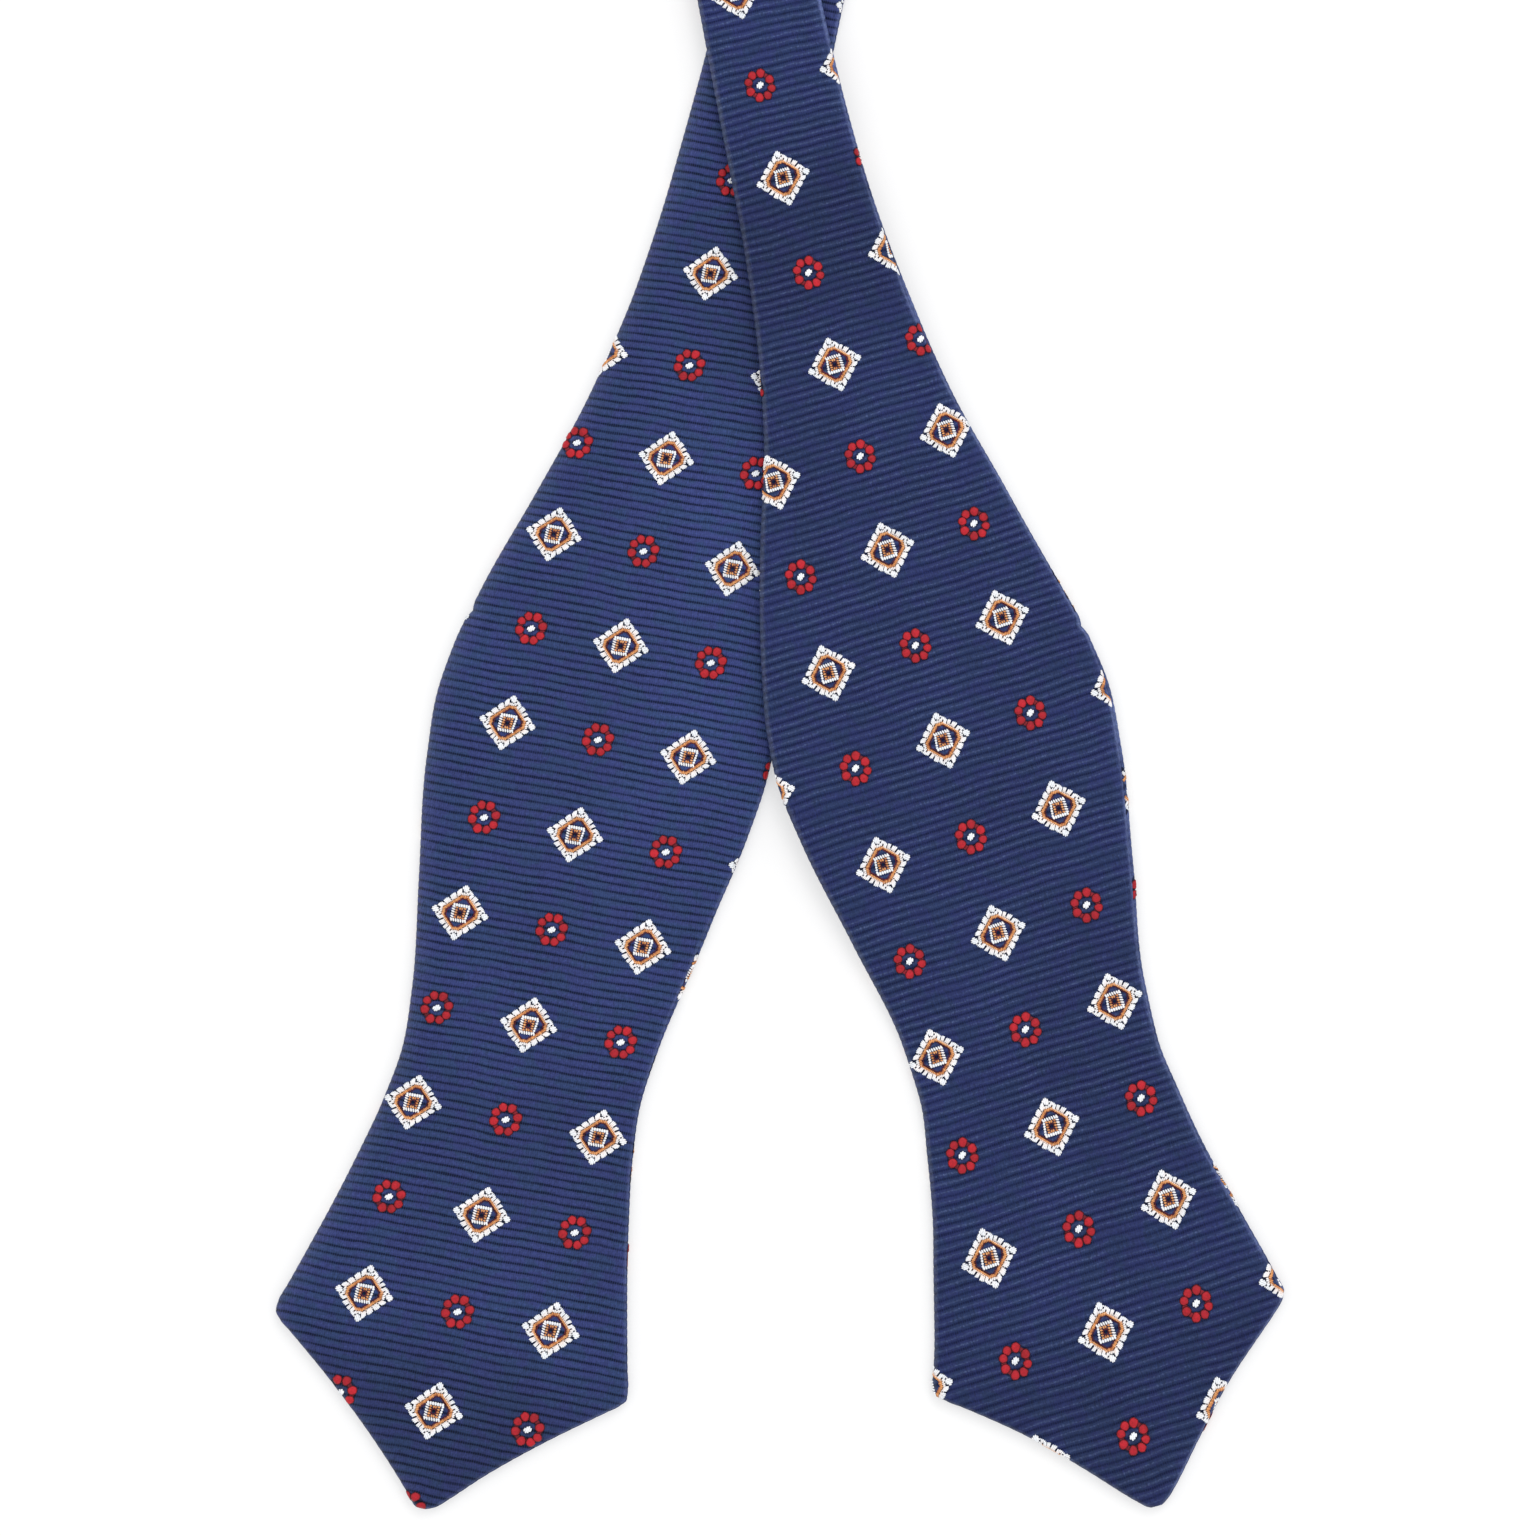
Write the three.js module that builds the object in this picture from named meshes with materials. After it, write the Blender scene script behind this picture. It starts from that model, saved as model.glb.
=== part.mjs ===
// A self-tie bow tie with diamond points, untied and laid flat on a table.
//
// It is cut as two like halves. Each half is a face cloth and a back cloth, sewn
// together all round and turned right side out, and the halves meet in a seam at
// the centre of the back of the neck. The blades lie flat with their points
// towards -Y, the right half crosses over the left one, and the neck band past the
// crossing turns up on its outer edge and closes in a standing loop.
//
// Millimetres, +Z up, the table is z = 0, the origin is the centre of the
// underside of the whole object.

import * as THREE from 'three';

// ---- driving dimensions -------------------------------------------------------

const THICKNESS = 2.6;        // a half, face cloth to back cloth, padded and pressed
const SEAM_GAP = 0.3;         // between the two cloths, and at the centre back
const BACK_SHIFT = 0.2;       // the back cloth rolls this far out at the right edge
const HALF_LENGTH = 465;      // point to centre-back seam, each half
const WALK_STEP = 0.5;        // step along the centreline when it is walked
const NICK_DEPTH = 0.45;      // dip where the turning gap is closed by hand
const NICK_REACH = 1.6;       // how far the dip runs to each side of its middle

const WALL = (THICKNESS - SEAM_GAP) / 2;

// Rounded edge of a cloth: distance in from the edge, height above the seam.
const ROLLED_EDGE = [
  { in: 0.0, up: 0.0 },
  { in: 0.3, up: 0.75 },
  { in: 1.5, up: WALL },
];

// Places across a cloth between its rolled edges, as a share of the half width.
const ACROSS = [-0.5, 0, 0.5];

// Half width of each half along its run. Run 0 is the line between the two
// shoulders of the diamond end, negative towards the point, positive to the neck.
// shift is how far the middle of the section lies to the right of the centreline.
const LEFT_WIDTHS = [
  { run: -28.3, half: 0.7, shift: 1.6 },
  { run: -28.0, half: 1.35, shift: 1.7 },
  { run: -27.2, half: 2.4, shift: 2.0 },
  { run: -26.0, half: 3.55, shift: 2.0 },
  { run: -20.0, half: 9.45, shift: 1.6 },
  { run: -12.0, half: 18.4, shift: 1.05 },
  { run: -4.0, half: 28.5, shift: 0.35 },
  { run: -2.4, half: 30.6, shift: 0.15 },
  { run: -0.8, half: 31.75, shift: 0.1 },
  { run: 1.0, half: 31.6, shift: 0.0 },
  { run: 4.0, half: 30.75, shift: 0.0 },
  { run: 10.0, half: 29.15, shift: 0.0 },
  { run: 20.0, half: 26.6, shift: 0.0 },
  { run: 30.0, half: 24.35, shift: 0.0 },
  { run: 40.0, half: 22.45, shift: 0.0 },
  { run: 50.0, half: 21.45, shift: 0.0 },
  { run: 60.0, half: 22.25, shift: 0.0 },
  { run: 80.0, half: 25.6, shift: 0.0 },
  { run: 100.0, half: 29.0, shift: -0.2 },
  { run: 111.0, half: 29.9, shift: -0.4 },
  { run: 120.0, half: 29.35, shift: -0.3 },
  { run: 130.0, half: 27.65, shift: 0.0 },
  { run: 150.0, half: 22.25, shift: 0.0 },
  { run: 170.0, half: 16.9, shift: 0.0 },
  { run: 190.0, half: 13.25, shift: 0.0 },
  { run: 210.0, half: 11.55, shift: 0.0 },
  { run: 240.0, half: 10.7, shift: 0.0 },
  { run: 280.0, half: 10.2, shift: 0.0 },
  { run: 437.0, half: 10.0, shift: 0.0 },
];

const RIGHT_WIDTHS = [
  { run: -29.5, half: 0.9, shift: 0.0 },
  { run: -29.2, half: 1.5, shift: 0.0 },
  { run: -28.4, half: 2.5, shift: 0.1 },
  { run: -27.2, half: 3.75, shift: 0.1 },
  { run: -20.0, half: 10.3, shift: 0.0 },
  { run: -12.0, half: 18.0, shift: -0.25 },
  { run: -4.0, half: 27.4, shift: -0.5 },
  { run: -2.0, half: 29.9, shift: -0.7 },
  { run: 0.0, half: 31.7, shift: -0.7 },
  { run: 1.2, half: 31.95, shift: -0.4 },
  { run: 4.0, half: 31.15, shift: -0.2 },
  { run: 10.0, half: 29.55, shift: 0.0 },
  { run: 20.0, half: 27.0, shift: 0.0 },
  { run: 30.0, half: 24.5, shift: 0.0 },
  { run: 40.0, half: 22.8, shift: 0.0 },
  { run: 50.0, half: 21.5, shift: 0.0 },
  { run: 60.0, half: 21.9, shift: 0.0 },
  { run: 80.0, half: 25.5, shift: 0.0 },
  { run: 100.0, half: 29.25, shift: 0.0 },
  { run: 111.0, half: 30.3, shift: 0.0 },
  { run: 120.0, half: 29.55, shift: 0.0 },
  { run: 130.0, half: 27.45, shift: 0.0 },
  { run: 150.0, half: 22.35, shift: 0.0 },
  { run: 170.0, half: 16.8, shift: 0.0 },
  { run: 190.0, half: 13.4, shift: 0.0 },
  { run: 210.0, half: 11.55, shift: 0.0 },
  { run: 240.0, half: 10.6, shift: 0.0 },
  { run: 280.0, half: 10.2, shift: 0.0 },
  { run: 437.0, half: 10.0, shift: 0.0 },
];

// Heading of the centreline seen from above, degrees from +Y towards +X.
const LEFT_ROUTE = [
  { run: -30, heading: 14.4 },
  { run: 0, heading: 14.4 },
  { run: 40, heading: 14.1 },
  { run: 80, heading: 13.0 },
  { run: 110, heading: 15.1 },
  { run: 140, heading: 14.3 },
  { run: 170, heading: 12.9 },
  { run: 200, heading: 12.9 },
  { run: 220, heading: 13.7 },
  { run: 241, heading: 12.8 },
  { run: 285, heading: 20.0 },
  { run: 315, heading: 35.75 },
  { run: 345, heading: 29.87 },
  { run: 375, heading: -15.13 },
  { run: 405, heading: -62.0 },
  { run: 436.7, heading: -90.0 },
];

const RIGHT_ROUTE = [
  { run: -30, heading: -15.3 },
  { run: 0, heading: -15.3 },
  { run: 40, heading: -14.7 },
  { run: 80, heading: -16.2 },
  { run: 120, heading: -16.5 },
  { run: 150, heading: -13.7 },
  { run: 180, heading: -14.4 },
  { run: 205, heading: -14.1 },
  { run: 225, heading: -12.5 },
  { run: 243, heading: -11.4 },
  { run: 285, heading: -19.0 },
  { run: 315, heading: -35.93 },
  { run: 345, heading: -29.82 },
  { run: 375, heading: 15.18 },
  { run: 405, heading: 62.0 },
  { run: 435.5, heading: 90.0 },
];

// How each half lies. clear is the height of the section's lowest point above the
// table, roll turns the section about its run, positive with the right edge down.
const LEFT_LAY = [
  { run: -30, clear: 0, roll: 0 },
  { run: 284, clear: 0, roll: 0 },
  { run: 302, clear: 0, roll: 14 },
  { run: 320, clear: 0, roll: 45 },
  { run: 338, clear: 0, roll: 76 },
  { run: 354, clear: 0, roll: 89 },
  { run: 366, clear: 0, roll: 90 },
  { run: 437, clear: 0, roll: 90 },
];

const RIGHT_LAY = [
  { run: -30, clear: 0, roll: 0 },
  { run: 58, clear: 0, roll: 0 },
  { run: 80, clear: 0, roll: 1.8 },
  { run: 98, clear: 0, roll: 3.1 },
  { run: 120, clear: 0, roll: 3.0 },
  { run: 140, clear: 0, roll: 3.6 },
  { run: 150, clear: 0, roll: 4.0 },
  { run: 165, clear: 0.5, roll: 4.2 },
  { run: 180, clear: 1.6, roll: 3.4 },
  { run: 195, clear: 2.4, roll: 2.2 },
  { run: 210, clear: 2.95, roll: 0.9 },
  { run: 224, clear: 3.05, roll: 0 },
  { run: 284, clear: 3.05, roll: 0 },
  { run: 302, clear: 1.6, roll: -14 },
  { run: 320, clear: 0.1, roll: -45 },
  { run: 338, clear: 0, roll: -76 },
  { run: 354, clear: 0, roll: -89 },
  { run: 366, clear: 0, roll: -90 },
  { run: 437, clear: 0, roll: -90 },
];

// Spacing of the sections, from one run to the next.
const SECTION_SPACING = [
  { to: -24, step: 1.2 },
  { to: -4, step: 5 },
  { to: 4, step: 1.3 },
  { to: 284, step: 8 },
  { to: 437, step: 4.5 },
];

const HALVES = [
  {
    name: 'left', start: { x: -57.72, y: -179.37 }, point: -28.3,
    widths: LEFT_WIDTHS, route: LEFT_ROUTE, lay: LEFT_LAY,
    nick: { run: 126.5, side: -1 },
    face: 0x2f3f7e, back: 0x2a3872,
  },
  {
    name: 'right', start: { x: 58.23, y: -178.44 }, point: -29.5,
    widths: RIGHT_WIDTHS, route: RIGHT_ROUTE, lay: RIGHT_LAY,
    nick: { run: 122.5, side: 1 },
    face: 0x28366c, back: 0x243264,
  },
];

// ---- tables and the centreline -------------------------------------------------

// Smooth curve through one column of a table, with no overshoot between its rows.
function column(rows, name) {
  const x = rows.map((r) => r.run);
  const y = rows.map((r) => r[name]);
  const n = x.length;
  const h = [];
  const d = [];
  for (let i = 0; i < n - 1; i++) {
    h.push(x[i + 1] - x[i]);
    d.push((y[i + 1] - y[i]) / h[i]);
  }
  const m = new Array(n).fill(0);
  for (let i = 1; i < n - 1; i++) {
    if (d[i - 1] * d[i] > 0) {
      const a = 2 * h[i] + h[i - 1];
      const b = h[i] + 2 * h[i - 1];
      m[i] = (a + b) / (a / d[i - 1] + b / d[i]);
    }
  }
  const end = (h0, h1, d0, d1) => {
    const s = ((2 * h0 + h1) * d0 - h0 * d1) / (h0 + h1);
    if (s * d0 <= 0) return 0;
    return d0 * d1 <= 0 && Math.abs(s) > 3 * Math.abs(d0) ? 3 * d0 : s;
  };
  m[0] = end(h[0], h[1], d[0], d[1]);
  m[n - 1] = end(h[n - 2], h[n - 3], d[n - 2], d[n - 3]);
  return (run) => {
    const r = Math.min(Math.max(run, x[0]), x[n - 1]);
    let i = 0;
    while (i < n - 2 && r > x[i + 1]) i++;
    const t = (r - x[i]) / h[i];
    const t2 = t * t;
    const t3 = t2 * t;
    return (2 * t3 - 3 * t2 + 1) * y[i] + (t3 - 2 * t2 + t) * h[i] * m[i]
      + (3 * t2 - 2 * t3) * y[i + 1] + (t3 - t2) * h[i] * m[i + 1];
  };
}

// Walks the centreline both ways from run 0 and gives its place at any run.
function walk(route, start, from, to) {
  const heading = column(route, 'heading');
  const sweep = (end) => {
    const sign = Math.sign(end);
    const places = [{ x: start.x, y: start.y }];
    const count = Math.ceil(Math.abs(end) / WALK_STEP) + 1;
    for (let i = 0; i < count; i++) {
      const a = THREE.MathUtils.degToRad(heading(sign * (i + 0.5) * WALK_STEP));
      const p = places[i];
      places.push({
        x: p.x + sign * WALK_STEP * Math.sin(a),
        y: p.y + sign * WALK_STEP * Math.cos(a),
      });
    }
    return places;
  };
  const ahead = sweep(to);
  const behind = sweep(from);
  return (run) => {
    const places = run >= 0 ? ahead : behind;
    const f = Math.abs(run) / WALK_STEP;
    const i = Math.min(Math.floor(f), places.length - 2);
    const t = f - i;
    return {
      x: places[i].x + (places[i + 1].x - places[i].x) * t,
      y: places[i].y + (places[i + 1].y - places[i].y) * t,
      heading: THREE.MathUtils.degToRad(heading(run)),
    };
  };
}

// Runs of the sections of a half, its point and its nick included.
function sectionRuns(half, end) {
  const runs = [half.point, half.point + 0.35, half.point + 1.1];
  let run = half.point + 2.3;
  for (const zone of SECTION_SPACING) {
    const stop = Math.min(zone.to, end);
    const count = Math.max(1, Math.round((stop - run) / zone.step));
    const step = (stop - run) / count;
    for (let i = 0; i < count; i++) runs.push(run + i * step);
    run = stop;
  }
  runs.push(end);
  for (const reach of [-NICK_REACH, 0, NICK_REACH]) runs.push(half.nick.run + reach);
  runs.sort((a, b) => a - b);
  return runs.filter((r, i) => i === 0 || r - runs[i - 1] > 0.25);
}

// ---- one cloth -----------------------------------------------------------------

// side is +1 for the face cloth and -1 for the back cloth. Each section is a flat
// D: one straight line next to the other cloth, and a rolled edge at each end.
function clothGeometry(half, side) {
  const end = half.point + HALF_LENGTH - SEAM_GAP / 2;
  const place = walk(half.route, half.start, -30, end);
  const halfWidth = column(half.widths, 'half');
  const shift = column(half.widths, 'shift');
  const clear = column(half.lay, 'clear');
  const roll = column(half.lay, 'roll');
  const out = side < 0 ? BACK_SHIFT : 0;

  const section = (run) => {
    const w = halfWidth(run);
    const mid = shift(run);
    const dip = NICK_DEPTH * Math.max(0, 1 - Math.abs(run - half.nick.run) / NICK_REACH);
    const left = mid - w + out + (half.nick.side < 0 ? dip : 0);
    const right = mid + w + out - (half.nick.side > 0 ? dip : 0);
    const squeeze = Math.min(1, (right - left) / 2 / (ROLLED_EDGE[2].in * 2.5));
    const flat = SEAM_GAP / 2;
    const points = [];
    for (const e of ROLLED_EDGE) points.push([left + e.in * squeeze, side * (flat + e.up)]);
    const middle = (left + right) / 2;
    const reach = (right - left) / 2;
    for (const f of ACROSS) points.push([middle + f * reach, side * (flat + WALL)]);
    for (const e of [...ROLLED_EDGE].reverse()) {
      points.push([right - e.in * squeeze, side * (flat + e.up)]);
    }
    for (const f of [...ACROSS].reverse()) points.push([middle + f * reach, side * flat]);
    return points;
  };

  const runs = sectionRuns(half, end);
  const vertices = [];
  for (const run of runs) {
    const p = place(run);
    const tilt = THREE.MathUtils.degToRad(roll(run));
    const w = halfWidth(run);
    const low = w + (tilt > 0 ? BACK_SHIFT : 0);
    const z = clear(run) + low * Math.abs(Math.sin(tilt)) + (THICKNESS / 2) * Math.cos(tilt);
    const across = new THREE.Vector3(
      Math.cos(p.heading) * Math.cos(tilt), -Math.sin(p.heading) * Math.cos(tilt), -Math.sin(tilt));
    const up = new THREE.Vector3(
      Math.cos(p.heading) * Math.sin(tilt), -Math.sin(p.heading) * Math.sin(tilt), Math.cos(tilt));
    const middle = new THREE.Vector3(p.x, p.y, z);
    for (const [u, v] of section(run)) {
      const q = middle.clone().addScaledVector(across, u).addScaledVector(up, v);
      vertices.push(q.x, q.y, q.z);
    }
  }

  const ring = ROLLED_EDGE.length * 2 + ACROSS.length * 2;
  const outer = ROLLED_EDGE.length * 2 + ACROSS.length - 1;
  const index = [];
  const tri = (a, b, c) => (side > 0 ? index.push(a, c, b) : index.push(a, b, c));
  for (let i = 0; i < runs.length - 1; i++) {
    for (let k = 0; k < ring; k++) {
      const a = i * ring + k;
      const b = i * ring + (k + 1) % ring;
      const c = a + ring;
      const d = b + ring;
      if (k < outer) {
        tri(a, c, d);
        tri(a, d, b);
      } else {
        tri(a, c, b);
        tri(b, c, d);
      }
    }
  }
  // Both ends are closed by a strip between the rolled side and the straight line.
  const close = (run, first, flip) => {
    const points = section(run);
    const rolled = Array.from({ length: outer + 1 }, (_, k) => k);
    const straight = [0, ...Array.from({ length: ACROSS.length }, (_, k) => ring - 1 - k), outer];
    let i = 0;
    let j = 0;
    while (i < rolled.length - 1 || j < straight.length - 1) {
      const nextRolled = i < rolled.length - 1 ? points[rolled[i + 1]][0] : Infinity;
      const nextStraight = j < straight.length - 1 ? points[straight[j + 1]][0] : Infinity;
      const a = rolled[i];
      const b = straight[j];
      const c = nextRolled < nextStraight - 1e-6 ? rolled[++i] : straight[++j];
      if (a === b || b === c || a === c) continue;
      if (flip) tri(first + a, first + b, first + c);
      else tri(first + a, first + c, first + b);
    }
  };
  close(runs[0], 0, false);
  close(runs[runs.length - 1], (runs.length - 1) * ring, true);

  const geometry = new THREE.BufferGeometry();
  geometry.setAttribute('position', new THREE.Float32BufferAttribute(vertices, 3));
  geometry.setIndex(index);
  geometry.computeVertexNormals();
  return geometry;
}

// ---- the tie -------------------------------------------------------------------

const tie = new THREE.Group();
for (const half of HALVES) {
  for (const [cloth, side, colour] of [['face_cloth', 1, half.face], ['back_cloth', -1, half.back]]) {
    const mesh = new THREE.Mesh(
      clothGeometry(half, side),
      new THREE.MeshStandardMaterial({ color: colour, roughness: 0.55, metalness: 0 }));
    mesh.name = `${half.name}_${cloth}`;
    tie.add(mesh);
  }
}

export default tie;
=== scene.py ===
"""A self-tie bow tie with diamond points, untied and lying flat.

Every length in this script is in millimetres in the object's own frame, and is
turned into metres when a mesh is made. Each half is a ribbed face cloth over a
ribbed back cloth, with a repeat of woven diamonds and florets in raised thread.
"""
import math

import bpy
import numpy as np
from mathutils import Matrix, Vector


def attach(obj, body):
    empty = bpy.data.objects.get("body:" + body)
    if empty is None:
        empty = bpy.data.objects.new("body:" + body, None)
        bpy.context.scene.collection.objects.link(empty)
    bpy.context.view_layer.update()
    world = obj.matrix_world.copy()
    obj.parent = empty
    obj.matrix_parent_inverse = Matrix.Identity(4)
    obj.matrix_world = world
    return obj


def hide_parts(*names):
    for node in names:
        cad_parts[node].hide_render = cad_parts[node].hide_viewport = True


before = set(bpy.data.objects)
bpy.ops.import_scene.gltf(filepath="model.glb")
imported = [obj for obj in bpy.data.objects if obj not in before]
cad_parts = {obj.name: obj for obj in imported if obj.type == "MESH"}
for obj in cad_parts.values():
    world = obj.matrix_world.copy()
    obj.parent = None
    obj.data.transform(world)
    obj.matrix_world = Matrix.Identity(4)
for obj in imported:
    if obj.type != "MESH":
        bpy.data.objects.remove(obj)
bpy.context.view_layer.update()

# ---- sizes, as in the part ------------------------------------------------------

THICKNESS = 2.6  # a half, face cloth to back cloth
SEAM_GAP = 0.06  # between the sewn cloths, closer than in the part
SEAM_MEET = 0.04  # the ends of the halves reach this far over, so that the seam shuts
BACK_SHIFT = 0.2  # the back cloth rolls this far out at the right edge
HALF_LENGTH = 465.0  # point to centre-back seam
WALK_STEP = 0.5
NICK_DEPTH = 0.45
NICK_REACH = 1.6
WALL = (THICKNESS - SEAM_GAP) / 2

# ---- sizes of the finish --------------------------------------------------------

THREAD_ROOM = 0.15  # raised threads stand this far above the ribs
EDGE_ROUND = 1.5  # width of the rolled edge
TIP_ROUND = 1.3  # the cloth closes over this length at the point
SEAM_ROUND = 0.7  # and over this length at the centre-back seam
RIB = 1.44  # rib to rib, along the warp
RIB_DEPTH = 0.17
REPEAT_ACROSS = 32.6  # the woven repeat, weft way
REPEAT_ALONG = 24 * RIB  # and warp way
RIB_PHASES = (0.0, 0.08, 0.25, 0.5, 0.75, 0.92)  # rows of the mesh in each rib
EDGE_STEPS = (0.0, 0.27, 0.52, 0.77, 1.0)  # points round a rolled edge
FLAT_STEPS = 13  # points between the rolled edges
OVER_EDGE = 0.65  # how far the back cloth's threads turn over the edge where it shows
INNER_STEPS = (0.5, 0.0, -0.5)  # points on the hidden side


def table(columns, *rows):
    """A short table with named columns."""
    return {name: np.array([row[k] for row in rows], float) for k, name in enumerate(columns)}


LEFT_WIDTHS = table(
    ("run", "half", "shift"),
    (-28.3, 0.7, 1.6), (-28.0, 1.35, 1.7), (-27.2, 2.4, 2.0), (-26.0, 3.55, 2.0),
    (-20.0, 9.45, 1.6), (-12.0, 18.4, 1.05), (-4.0, 28.5, 0.35), (-2.4, 30.6, 0.15),
    (-0.8, 31.75, 0.1), (1.0, 31.6, 0.0), (4.0, 30.75, 0.0), (10.0, 29.15, 0.0),
    (20.0, 26.6, 0.0), (30.0, 24.35, 0.0), (40.0, 22.45, 0.0), (50.0, 21.45, 0.0),
    (60.0, 22.25, 0.0), (80.0, 25.6, 0.0), (100.0, 29.0, -0.2), (111.0, 29.9, -0.4),
    (120.0, 29.35, -0.3), (130.0, 27.65, 0.0), (150.0, 22.25, 0.0), (170.0, 16.9, 0.0),
    (190.0, 13.25, 0.0), (210.0, 11.55, 0.0), (240.0, 10.7, 0.0), (280.0, 10.2, 0.0),
    (437.0, 10.0, 0.0),
)
RIGHT_WIDTHS = table(
    ("run", "half", "shift"),
    (-29.5, 0.9, 0.0), (-29.2, 1.5, 0.0), (-28.4, 2.5, 0.1), (-27.2, 3.75, 0.1),
    (-20.0, 10.3, 0.0), (-12.0, 18.0, -0.25), (-4.0, 27.4, -0.5), (-2.0, 29.9, -0.7),
    (0.0, 31.7, -0.7), (1.2, 31.95, -0.4), (4.0, 31.15, -0.2), (10.0, 29.55, 0.0),
    (20.0, 27.0, 0.0), (30.0, 24.5, 0.0), (40.0, 22.8, 0.0), (50.0, 21.5, 0.0),
    (60.0, 21.9, 0.0), (80.0, 25.5, 0.0), (100.0, 29.25, 0.0), (111.0, 30.3, 0.0),
    (120.0, 29.55, 0.0), (130.0, 27.45, 0.0), (150.0, 22.35, 0.0), (170.0, 16.8, 0.0),
    (190.0, 13.4, 0.0), (210.0, 11.55, 0.0), (240.0, 10.6, 0.0), (280.0, 10.2, 0.0),
    (437.0, 10.0, 0.0),
)
LEFT_ROUTE = table(
    ("run", "heading"),
    (-30, 14.4), (0, 14.4), (40, 14.1), (80, 13.0), (110, 15.1), (140, 14.3),
    (170, 12.9), (200, 12.9), (220, 13.7), (241, 12.8), (285, 20.0), (315, 35.75),
    (345, 29.87), (375, -15.13), (405, -62.0), (436.7, -90.0),
)
RIGHT_ROUTE = table(
    ("run", "heading"),
    (-30, -15.3), (0, -15.3), (40, -14.7), (80, -16.2), (120, -16.5), (150, -13.7),
    (180, -14.4), (205, -14.1), (225, -12.5), (243, -11.4), (285, -19.0),
    (315, -35.93), (345, -29.82), (375, 15.18), (405, 62.0), (435.5, 90.0),
)
LEFT_LAY = table(
    ("run", "clear", "roll"),
    (-30, 0, 0), (284, 0, 0), (302, 0, 14), (320, 0, 45), (338, 0, 76), (354, 0, 89),
    (366, 0, 90), (437, 0, 90),
)
RIGHT_LAY = table(
    ("run", "clear", "roll"),
    (-30, 0, 0), (58, 0, 0), (80, 0, 1.8), (98, 0, 3.1), (120, 0, 3.0), (140, 0, 3.6),
    (150, 0, 4.0), (165, 0.5, 4.2), (180, 1.6, 3.4), (195, 2.4, 2.2), (210, 2.95, 0.9),
    (224, 3.05, 0), (284, 3.05, 0), (302, 1.6, -14), (320, 0.1, -45), (338, 0, -76),
    (354, 0, -89), (366, 0, -90), (437, 0, -90),
)
# Where the back cloth shows past the face cloth at the right edge, and how far.
LEFT_PEEK = table(
    ("run", "show"),
    (-30, 0.0), (60, 0.0), (69, 0.3), (79, 0.3), (88, 0.0), (200, 0.0), (284, 0.0), (437, 0.0),
)
RIGHT_PEEK = table(
    ("run", "show"),
    (-30, 0.0), (14, 0.0), (27, 0.22), (40, 0.05), (66, 0.1), (78, 0.3), (86, 0.3),
    (95, 0.38), (104, 0.3), (112, 0.3), (120, 0.06), (150, 0.0), (176, 0.1), (186, 0.38),
    (196, 0.15), (225, 0.05), (245, 0.0), (284, 0.0), (437, 0.0),
)
# The woven grid over each half: how the fabric's weft way (across) and warp way
# (along) grow with the run and with the offset from the centreline. run counts
# from 110 in hundreds, off in twenties.
GRID_TERMS = ("one", "run", "off", "run_off", "run2", "run3")
LEFT_GRID = {
    "across": (0.982, 0.666, 20.209, 0.638, -0.041, -0.223),
    "along": (-17.472, 101.506, -1.208, -0.210, 1.100, -0.137),
}
RIGHT_GRID = {
    "across": (16.632, 0.673, 20.236, 0.591, 1.065, 0.295),
    "along": (-17.536, 99.412, -0.766, 0.016, 2.314, -0.556),
}
GRID_END = 272.0  # past this run the grid goes on evenly
# How far the real weave drifts from those even terms; skew is for each 20 of off.
LEFT_DRIFT = table(
    ("run", "across", "along", "skew"),
    (-11, -0.24, 0.30, -0.12), (7, 0.08, -0.08, -0.05), (24, 0.15, -0.21, -0.11),
    (42, 0.13, -0.05, -0.12), (59, 0.09, 0.14, 0.08), (76, -0.08, 0.13, 0.28),
    (93, -0.36, 0.09, 0.10), (110, -0.17, 0.0, -0.34), (127, 0.10, -0.04, -0.15),
    (144, 0.34, -0.13, 0.16), (161, 0.19, -0.12, 0.1), (178, -0.18, -0.03, 0.0),
    (194, -0.23, 0.18, 0.0), (230, 0.0, 0.1, 0.0), (272, 0.0, 0.0, 0.0),
)
RIGHT_DRIFT = table(
    ("run", "across", "along", "skew"),
    (-17, 0.02, 0.17, 0.0), (2, -0.04, 0.12, 0.03), (21, -0.08, -0.06, -0.26),
    (40, 0.02, -0.36, -0.24), (57, 0.12, -0.04, 0.05), (75, 0.22, 0.18, 0.25),
    (93, 0.11, 0.22, 0.27), (110, -0.04, 0.12, 0.38), (127, -0.27, 0.09, 0.18),
    (145, -0.04, -0.17, -0.4), (162, 0.42, -0.2, -0.3), (179, 0.45, 0.17, -0.1),
    (195, 0.42, 0.42, 0.0), (212, 0.13, 0.2, 0.0), (229, -0.25, 0.38, 0.0),
    (272, 0.0, 0.2, 0.0),
)

HALVES = (
    {
        "name": "left", "start": (-57.72, -179.37), "point": -28.3, "nick": (126.5, -1),
        "widths": LEFT_WIDTHS, "route": LEFT_ROUTE, "lay": LEFT_LAY, "peek": LEFT_PEEK,
        "grid": LEFT_GRID, "drift": LEFT_DRIFT, "turn": 1, "back_from": (25.2, 54.9),
    },
    {
        "name": "right", "start": (58.23, -178.44), "point": -29.5, "nick": (122.5, 1),
        "widths": RIGHT_WIDTHS, "route": RIGHT_ROUTE, "lay": RIGHT_LAY, "peek": RIGHT_PEEK,
        "grid": RIGHT_GRID, "drift": RIGHT_DRIFT, "turn": -1, "back_from": (44.4, 34.35),
    },
)

# ---- tables to curves -----------------------------------------------------------


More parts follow.
